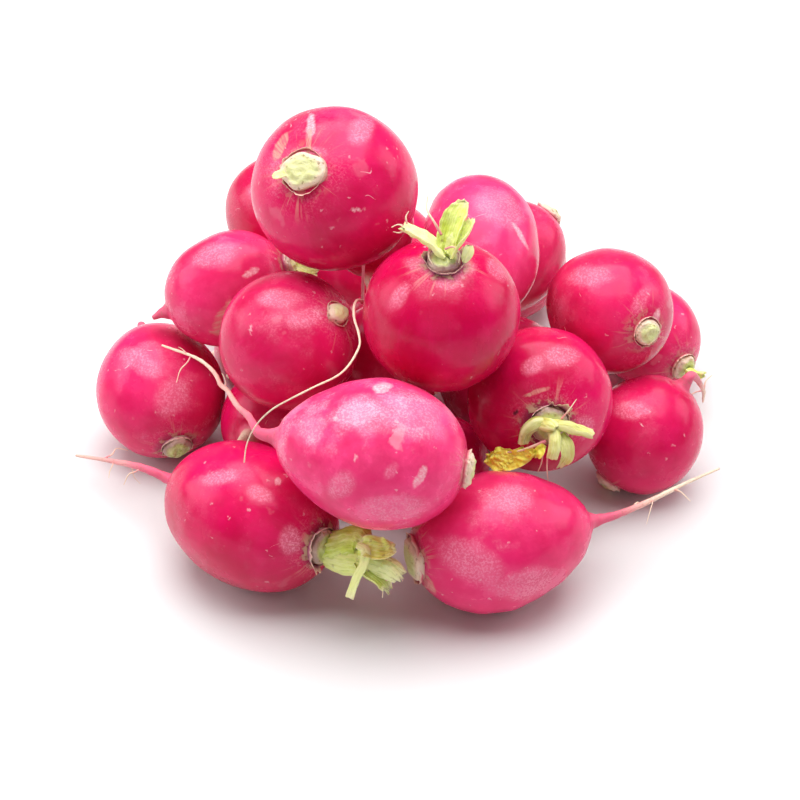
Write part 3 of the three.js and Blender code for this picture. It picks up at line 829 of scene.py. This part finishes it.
def stalk_flesh(name, light, middle, dark, dry):
    """Leaf-base flesh: from whitish to olive with its tone, lined along with pale veins, lighter at the
    edges, dry and straw-coloured where it is torn."""
    material, tree, flesh = new_material(name)
    place = shade(tree, "ShaderNodeTexCoord").outputs["Object"]
    grain = read(tree, "grain", "Vector")
    tip, edge, tone = (read(tree, key) for key in ("tip", "edge", "tone"))
    veins = placed(tree, fibres, Grain=grain, Round=2.4, Along=0.22)["Value"]
    mottle = placed(tree, clouds, Place=place, Per_Metre=260.0, Level=0.35, Soft=0.3)["Mask"]
    colour = tinted(tree, between(tree, tone, 0.0, 0.55), light, middle)
    colour = tinted(tree, between(tree, tone, 0.45, 1.0), colour, dark)
    colour = tinted(tree, times(tree, mottle, 0.35), colour, light)
    colour = tinted(tree, times(tree, between(tree, veins, 0.5, 0.66), 0.55), colour, light)
    colour = tinted(tree, times(tree, between(tree, veins, 0.46, 0.34), 0.4), colour, dark)
    colour = tinted(tree, times(tree, between(tree, edge, 0.86, 1.0), 0.6), colour, light)
    spots = placed(tree, flecks, Place=place, Per_Metre=700.0, Size=0.36, Share=0.16)["Mask"]
    colour = tinted(tree, times(tree, spots, 0.4), colour, spot_brown)
    colour = tinted(tree, times(tree, tip, plus(tree, mottle, 0.35), 0.7), colour, dry)
    flesh.inputs["Roughness"].default_value = 0.42
    glowing(flesh, 0.25, 0.001, 0.0012, 0.0003)
    height = plus(tree, times(tree, veins, 1.2), times(tree, noise(tree, place, 1600.0, 3.0), 0.4))
    coloured(tree, flesh, colour, height, 0.9, 0.0003)
    return material


stalk_material = stalk_flesh(
    "leaf_stalk", light=(0.92, 0.95, 0.47), middle=(0.72, 0.82, 0.09), dark=(0.34, 0.44, 0.02),
    dry=(0.90, 0.84, 0.46),
)
dried_material = stalk_flesh(
    "dried_stalk", light=(0.86, 0.84, 0.44), middle=(0.62, 0.62, 0.13), dark=(0.34, 0.34, 0.05),
    dry=(0.80, 0.68, 0.38),
)


def stalk_path(node):
    """A stalk's middle line, from its foot to its end, and its radius at each point."""
    centres, radii = rings(node)
    return centres[::-1], radii[::-1]


def seen_from(middle, offsets):
    """Points given in millimetres right, high and near of a middle, as the eye sees them."""
    offsets = np.asarray(offsets, float) * mm
    return middle + offsets[:, :1] * right + offsets[:, 1:2] * high + offsets[:, 2:] * near


def crown_top(name):
    """The middle of a crown's surface."""
    foot, _, tall, out, _, _ = crown_frame(name)
    return foot + out * tall


# Each leaf base or scrap, in millimetres: its path right, high and near of the crown's middle, how wide it
# is along that, how thick, how curled, in radians, and which way it opens, right, high and near. Then how
# deep its teeth and its ruffles are, how many ribs it has, how dark it is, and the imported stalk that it
# stands for, if any.
leaf_bits = {
    ("top", "stub"): {
        "path": [(-3.4, -0.8, -1.6), (-4.4, -1.1, -0.8), (-5.2, -1.5, -0.4), (-5.9, -1.8, -0.5)],
        "widths": (1.8, 2.0, 1.9, 1.0), "thick": 0.8, "curl": 1.2, "opens": (0.1, 0.5, 1.0),
        "torn": 0.4, "ruffle": 0.3, "ribs": 4, "tone": 0.2,
    },
    ("left_upper", "dry_base"): {
        "path": [(-0.5, 0.0, -0.5), (1.5, -0.6, 0.3), (3.2, -1.2, 0.5), (4.8, -1.9, 0.3)],
        "widths": (2.6, 3.6, 3.8, 2.4), "thick": 0.8, "curl": 1.4, "opens": (0.2, 0.5, 1.0),
        "torn": 0.6, "ruffle": 0.4, "ribs": 5, "tone": 0.7,
    },
    ("front_left", "sheath"): {
        "path": [(-1.6, 1.0, -1.4), (2.2, 2.6, 1.2), (6.0, 3.6, 3.6), (8.6, 2.4, 5.4)],
        "widths": (8.4, 10.0, 9.4, 4.0), "thick": 1.7, "curl": 2.5, "opens": (0.1, -0.7, -0.8),
        "torn": 0.4, "ruffle": 0.3, "ribs": 9, "tone": 0.66, "stands_for": "front_left_stalk_1",
    },
    ("front_left", "lower_sheath"): {
        "path": [(-0.9, -1.6, -0.8), (2.8, -2.6, 2.2), (6.6, -3.0, 4.6), (9.4, -3.6, 5.8)],
        "widths": (6.4, 7.4, 6.6, 4.4), "thick": 1.4, "curl": 1.8, "opens": (0.0, 0.2, -1),
        "torn": 0.5, "ruffle": 0.25, "ribs": 7, "tone": 0.3, "stands_for": "front_left_stalk_2",
    },
    ("front_left", "hanging_strip"): {
        "path": [(6.6, 1.4, 6.0), (8.4, 0.4, 7.2), (8.2, -2.4, 7.8), (6.5, -5.8, 7.6), (4.9, -10.4, 6.6)],
        "widths": (1.4, 2.2, 2.3, 2.1, 2.2), "thick": 0.8, "curl": 0.5, "opens": (0.2, 0, 1),
        "torn": 0.15, "ruffle": 0.1, "ribs": 3, "tone": 0.22, "stands_for": "front_left_stalk_3",
    },
    ("front_left", "yellow_lobe"): {
        "path": [(6.8, 0.4, 5.2), (9.6, 0.9, 6.8), (12.6, 0.5, 7.8), (15.2, 1.2, 8.4)],
        "widths": (3.6, 5.8, 5.6, 2.8), "thick": 0.9, "curl": 1.4, "opens": (0.1, 0.35, 1.0),
        "torn": 0.6, "ruffle": 0.8, "ribs": 5, "tone": 0.5,
    },
    ("front_left", "torn_lobe"): {
        "path": [(8.0, -1.6, 4.8), (11.0, -2.4, 6.4), (14.0, -3.6, 7.4), (16.2, -5.4, 7.6)],
        "widths": (3.5, 5.6, 6.2, 4.4), "thick": 0.8, "curl": 1.8, "opens": (-0.2, -0.3, -0.9),
        "torn": 1.1, "ruffle": 0.45, "ribs": 6, "tone": 0.12,
    },
    ("front_left", "scoop"): {
        "path": [(6.4, -2.8, 4.2), (9.0, -4.8, 5.4), (11.6, -6.6, 5.8), (13.0, -8.6, 5.4)],
        "widths": (3.4, 5.4, 5.2, 3.6), "thick": 0.7, "curl": 2.4, "opens": (0.3, 0.5, 0.9),
        "torn": 1.2, "ruffle": 0.5, "ribs": 5, "tone": 0.72,
    },
    ("middle_right", "left_stalk"): {
        "path": [(-0.4, 0.0, -0.8), (-3.2, 2.6, 0.6), (-6.4, 4.6, 1.2), (-9.0, 5.9, 1.2)],
        "widths": (4.6, 4.8, 4.4, 4.0), "thick": 1.7, "curl": 1.5, "opens": (-0.2, 0.8, 0.5),
        "torn": 1.3, "ruffle": 0.2, "ribs": 6, "tone": 0.16, "stands_for": "middle_right_stalk_1",
    },
    ("middle_right", "tall_scoop"): {
        "path": [(0.6, 0.0, -0.6), (1.2, 4.0, 1.0), (2.6, 8.0, 1.6), (4.4, 11.8, 1.2)],
        "widths": (4.6, 6.6, 6.8, 3.2), "thick": 0.9, "curl": 2.3, "opens": (-0.5, -0.1, 0.9),
        "torn": 0.7, "ruffle": 0.45, "ribs": 5, "tone": 0.62, "stands_for": "middle_right_stalk_2",
    },
    ("middle_right", "short_scoop"): {
        "path": [(1.2, 0.0, 0.4), (3.0, 3.0, 2.2), (4.8, 5.4, 2.6), (5.8, 7.6, 2.0)],
        "widths": (4.2, 5.2, 4.8, 2.6), "thick": 0.9, "curl": 2.2, "opens": (-0.6, 0.3, 0.7),
        "torn": 0.5, "ruffle": 0.35, "ribs": 5, "tone": 0.3,
    },
    ("middle_right", "cream_flap"): {
        "path": [(4.2, -1.6, 0.2), (4.6, -0.6, 0.7), (5.2, 0.8, 0.9), (5.4, 1.8, 0.7)],
        "widths": (1.0, 2.2, 2.6, 1.8), "thick": 0.4, "curl": 0.8, "opens": (0.1, 0.2, 1),
        "torn": 0.6, "ruffle": 0.3, "ribs": 3, "tone": 0.0,
    },
    ("right_front", "right_stalk"): {
        "path": [(0.8, 0.2, 0.0), (3.6, 0.2, 2.0), (6.6, -0.7, 2.4), (9.4, -1.5, 1.8)],
        "widths": (3.6, 3.3, 3.1, 3.0), "thick": 2.7, "curl": 0.5, "opens": (0.1, 0.9, 0.5),
        "torn": 0.25, "ruffle": 0.1, "ribs": 7, "tone": 0.42, "stands_for": "right_front_stalk_1",
    },
    ("right_front", "front_stub"): {
        "path": [(0.4, -0.4, 0.4), (0.8, -2.6, 2.8), (0.6, -5.0, 3.2), (0.1, -7.2, 2.6)],
        "widths": (2.9, 2.9, 2.8, 2.6), "thick": 2.5, "curl": 0.4, "opens": (0.2, 0.2, 1),
        "torn": 0.12, "ruffle": 0.08, "ribs": 6, "tone": 0.4, "stands_for": "right_front_stalk_2",
    },
    ("right_front", "left_stub"): {
        "path": [(-0.8, 0.4, 0.2), (-3.4, 0.6, 1.4), (-5.3, -0.8, 1.0), (-6.2, -3.6, -0.6)],
        "widths": (3.2, 3.2, 3.0, 2.6), "thick": 2.7, "curl": 0.5, "opens": (0.5, -0.6, 0.5),
        "torn": 0.3, "ruffle": 0.1, "ribs": 6, "tone": 0.85,
    },
    ("right_front", "torn_flap"): {
        "path": [(2.0, -1.8, 1.0), (3.4, -4.2, 2.0), (3.6, -6.6, 1.4), (2.2, -9.0, -0.4)],
        "widths": (2.6, 3.6, 3.4, 2.0), "thick": 0.55, "curl": 1.0, "opens": (0.3, 0.1, 1),
        "torn": 0.9, "ruffle": 0.35, "ribs": 4, "tone": 0.6,
    },
    ("right_front", "knob"): {
        "path": [(-1.6, 0.6, -1.0), (-0.9, 0.5, 1.2), (0.4, 0.3, 2.4), (1.4, 0.0, 2.8)],
        "widths": (4.6, 4.8, 4.4, 2.6), "thick": 2.8, "curl": 0.5, "opens": (0.0, -0.8, -0.6),
        "torn": 0.5, "ruffle": 0.4, "ribs": 8, "tone": 0.55,
    },
}
for number, ((radish, word), bit) in enumerate(leaf_bits.items()):
    path = seen_from(crown_top(radish), bit["path"])
    facing = bit["opens"][0] * right + bit["opens"][1] * high + bit["opens"][2] * near
    piece = leaf_piece(f"{radish}_{word}", path, np.array(bit["widths"]) * mm, bit["thick"] * mm,
                       bit["curl"], facing, 31 * number + 2, bit["torn"] * mm, bit["ruffle"] * mm,
                       bit["ribs"], bit["tone"])
    material = dried_material if radish in ("right_front", "left_upper") else stalk_material
    own(piece, material, "leaf_stalk", *([bit["stands_for"]] if "stands_for" in bit else []))

# The stalks at the back keep to the line and the thickness of their packed ones.
for number, node in enumerate(("back_right_stalk_1", "back_left_stalk_1")):
    path, radii = stalk_path(node)
    thick = radii.max()
    piece = leaf_piece(f"{node}_base", path[1:-1], np.full(len(path) - 2, 2.3 * thick), 1.2 * thick, 1.4,
                       high, 900 + number, 0.6 * mm, 0.2 * mm, 6, 0.55)
    own(piece, stalk_material, "leaf_stalk", node)

# ---- The yellow leaf ----
# Under one crown hangs a withered leaf: a crumpled yellow blade below a thin stem, which is made with the
# threads. The blade is three thin ruffled sheets that overlap along the stem.
blade_thickness = 0.3 * mm
yellow_material = stalk_flesh(
    "withered_leaf", light=(0.96, 0.95, 0.22), middle=(0.93, 0.88, 0.03), dark=(0.74, 0.78, 0.04),
    dry=(0.92, 0.76, 0.08),
)

# Each sheet: its name, its path right, high and near of the crown's middle, its widths along that, in
# millimetres, its curl in radians, and the seed of its ruffles.
blades = [
    ("blade",
     [(-3.6, -5.2, 0.8), (-6.4, -6.6, -0.4), (-9.4, -7.4, -1.6), (-12.4, -7.2, -2.6), (-14.0, -6.6, -3.2)],
     (1.4, 4.2, 5.2, 5.6, 2.6), 0.9, 71),
    ("blade_end", [(-9.0, -6.4, -1.2), (-11.6, -7.8, -2.2), (-12.6, -9.6, -3.2)], (3.0, 4.6, 2.2), 1.2, 83),
    ("blade_root", [(-1.6, -4.0, 1.6), (-2.8, -5.6, 1.4), (-3.8, -7.0, 0.6)], (1.4, 2.6, 1.4), 1.0, 97),
]
for word, path, widths, curl, seed in blades:
    path = seen_from(crown_top("right_front"), path)
    piece = leaf_piece(f"right_front_{word}", path, np.array(widths) * mm, blade_thickness, curl, near,
                       seed, torn=1.0 * mm, ruffle=1.5 * mm, ribs=3, tone=0.35)
    own(piece, yellow_material, "leaf_stalk")

# ---- Rootlets and threads ----
# Fine side roots grow from the tails, and torn threads curl round the leafy crowns. Each is a round
# thread, tapered to its end.
thread_sides = 12
thread_rows = 48
thread_end = 0.35
thread_pink = (0.74, 0.20, 0.26)
thread_cream = (0.85, 0.68, 0.50)


def thread(name, path, thick):
    """A thread over its angle and its length: a circle carried along the smoothed path, whose radius falls
    evenly to a share of itself at the end, with slight knots."""
    share = np.linspace(0, 1, thread_rows)
    line = through(np.asarray(path, float), share)
    _, across, over = square_to(line, (0.35, 0.25, 0.9))
    _, out = all_round(across[:, None], over[:, None], thread_sides)
    radius = thick * (1 - (1 - thread_end) * share) * (1 + 0.15 * waves(line, 5, 2.5 * mm))
    places = line[:, None] + out * radius[:, None, None]
    full = np.ones((thread_rows, thread_sides))
    return closed_grid(name, places, {"along_tail": share[:, None] * full})


def root_thread():
    """Thread: pinkish where it leaves the skin, cream and slightly dry towards its end."""
    material, tree, flesh = new_material("root_thread")
    place = shade(tree, "ShaderNodeTexCoord").outputs["Object"]
    mottle = noise(tree, place, 500.0, 3.0)
    cream = between(tree, plus(tree, read(tree, "along_tail"), times(tree, mottle, 0.5)), 0.2, 0.8)
    colour = tinted(tree, cream, thread_pink, thread_cream)
    flesh.inputs["Roughness"].default_value = 0.5
    coloured(tree, flesh, colour, mottle, 0.5, 0.0002)
    return material


thread_material = root_thread()

# Threads round the crowns: their points in millimetres right, high and near of the crown, and their radius.
crown_threads = {
    "middle_right": [
        ([(-0.8, 4.4, 1.0), (-2.4, 7.2, 1.6), (-4.0, 10.0, 1.2), (-3.8, 13.0, 0.6)], 0.36),
        ([(0.0, 1.2, 1.8), (1.8, 1.6, 2.8), (3.2, 0.2, 2.4), (3.0, -1.8, 1.2)], 0.26),
        ([(-3.4, 1.6, 0.6), (-3.6, -0.4, 1.0), (-2.4, -2.6, 0.9)], 0.28),
        ([(-8.6, 6.2, 1.4), (-10.4, 6.6, 1.6), (-11.8, 6.0, 1.6)], 0.24),
        ([(-8.4, 6.8, 1.4), (-8.6, 8.4, 1.6), (-8.0, 9.6, 1.5)], 0.24),
        ([(-8.8, 5.4, 1.4), (-10.2, 4.8, 1.8), (-11.4, 5.0, 2.0)], 0.2),
    ],
    "right_front": [
        ([(-1.2, -3.2, 1.8), (-4.2, -4.4, 1.2), (-7.0, -5.4, 0.0), (-9.8, -5.8, -1.2)], 0.42),
        ([(2.4, 1.8, 0.4), (4.2, 4.0, 0.8), (5.9, 6.4, 0.6)], 0.22),
        ([(-0.8, -6.0, 2.0), (-0.9, -9.0, 0.8), (-0.4, -12.4, -2.4)], 0.24),
        ([(-1.8, -6.0, 1.6), (-2.2, -8.4, 0.4), (-2.9, -10.4, -1.2)], 0.2),
    ],
    "front_left": [
        ([(12.0, -7.0, 5.6), (12.3, -8.6, 5.8), (12.2, -10.4, 5.4)], 0.2),
        ([(13.0, -6.4, 6.4), (14.2, -6.6, 6.8), (13.8, -8.2, 6.6)], 0.2),
        ([(16.0, -5.2, 7.4), (16.8, -6.6, 7.2)], 0.18),
    ],
}
for radish, strands in crown_threads.items():
    for number, (path, thick) in enumerate(strands, 1):
        piece = thread(f"{radish}_thread_{number}", seen_from(crown_top(radish), path), thick * mm)
        own(piece, thread_material, "radish_skin")

# Side roots: for each long tail, how many, at random places along it. Each starts inside the tail, goes
# out to one side and droops, and lies on the ground if it reaches it. The thin rings at the bulb's far end
# aren't tail, and are left out where the rings leap across the bulb.
tail_radius = 2.2 * mm
leap = 12 * mm
side_roots = {
    "front_left": 5, "front_right": 4, "front_middle": 3, "left": 2, "right": 3, "back_middle": 5,
}
for radish, count in side_roots.items():
    centres, radii = rings(f"{radish}_root")
    tail = centres[1:][radii[1:] < tail_radius]
    leaps = np.linalg.norm(np.diff(tail, axis=0), axis=1) > leap
    tail = tail[: int(np.argmax(leaps)) or len(tail)]
    chance = np.random.default_rng(len(radish) * 7 + count)
    for number in range(1, count + 1):
        start = through(tail, np.array([chance.uniform(0.15, 0.9)]))[0]
        way = chance.normal(size=3) * (1, 1, 0.35)
        way /= np.linalg.norm(way)
        length = chance.uniform(3, 8) * mm
        drop = np.array([[0, 0, 0], [0, 0, 0.02], [0, 0, -0.12], [0, 0, -0.35]]) * length
        path = start + way * length * np.array([[0], [0.3], [0.7], [1]]) + drop
        path += chance.normal(size=(4, 3)) * 0.05 * length * np.array([[0], [1], [1], [1]])
        path[:, 2] = np.maximum(path[:, 2], 0.35 * mm)
        piece = thread(f"{radish}_rootlet_{number}", path, chance.uniform(0.16, 0.26) * mm)
        own(piece, thread_material, "radish_skin")

# ---- Floor and light ----
# A wide white table that curves up far behind the heap, under one large soft light overhead, a tall window
# at either side and a faint light in front. The room is dim, so the skin shines only where the lights are.
table_width = 6.0
table_front = -1.6
table_back = 1.0
curve_length = 1.2
curve_radius = 0.8
wall_height = 1.2
table_rows = 61

# The table over its width and its length: flat, then a quarter of a circle, then straight up.
table_end = table_back + curve_length + wall_height
across_table, along_table = np.meshgrid([-table_width / 2, table_width / 2],
                                        np.linspace(table_front, table_end, table_rows))
bend = np.clip((along_table - table_back) / curve_length, 0, 1) * np.pi / 2
climb = np.clip(along_table - table_back - curve_length, 0, None)
spots = np.stack([
    across_table,
    np.minimum(along_table, table_back) + curve_radius * np.sin(bend),
    curve_radius * (1 - np.cos(bend)) + climb,
], -1)
row = np.arange(table_rows - 1)[:, None]
table_faces = np.hstack([2 * row, 2 * row + 1, 2 * row + 3, 2 * row + 2])
table_mesh = bpy.data.meshes.new("table")
table_mesh.from_pydata(spots.reshape(-1, 3).tolist(), [], table_faces.tolist())
table_mesh.polygons.foreach_set("use_smooth", np.ones(table_rows - 1, bool))
table = bpy.data.objects.new("table", table_mesh)
bpy.context.scene.collection.objects.link(table)
white, _, paint = new_material("table_white")
paint.inputs["Base Color"].default_value = (0.72, 0.72, 0.72, 1)
paint.inputs["Roughness"].default_value = 0.7
table_mesh.materials.append(white)

heap_middle = Vector((0, 0, 0.04))


def soft_light(name, place, size, radiance):
    """A square soft light at a place, in metres, that faces the heap. Its power follows from how bright
    its face is: pi times its area times its radiance."""
    light = bpy.data.objects.new(name, bpy.data.lights.new(name, "AREA"))
    light.data.size = size
    light.data.energy = math.pi * size**2 * radiance
    light.location = place
    towards = heap_middle - light.location
    light.rotation_euler = towards.to_track_quat("-Z", "Y").to_euler()
    bpy.context.scene.collection.objects.link(light)


soft_light("overhead", (0.0, 0.15, 0.95), 1.1, 4.9)
soft_light("left_window", (-0.8, 0.12, 0.42), 0.55, 3.4)
soft_light("right_window", (0.8, 0.2, 0.45), 0.5, 3.0)
soft_light("from_the_front", (-0.15, -0.85, 0.5), 0.8, 0.6)

room = bpy.data.worlds.new("room")
bpy.context.scene.world = room
room.use_nodes = True
room_light = room.node_tree.nodes["Background"]
room_light.inputs["Color"].default_value = (1, 1, 1, 1)
room_light.inputs["Strength"].default_value = 0.14
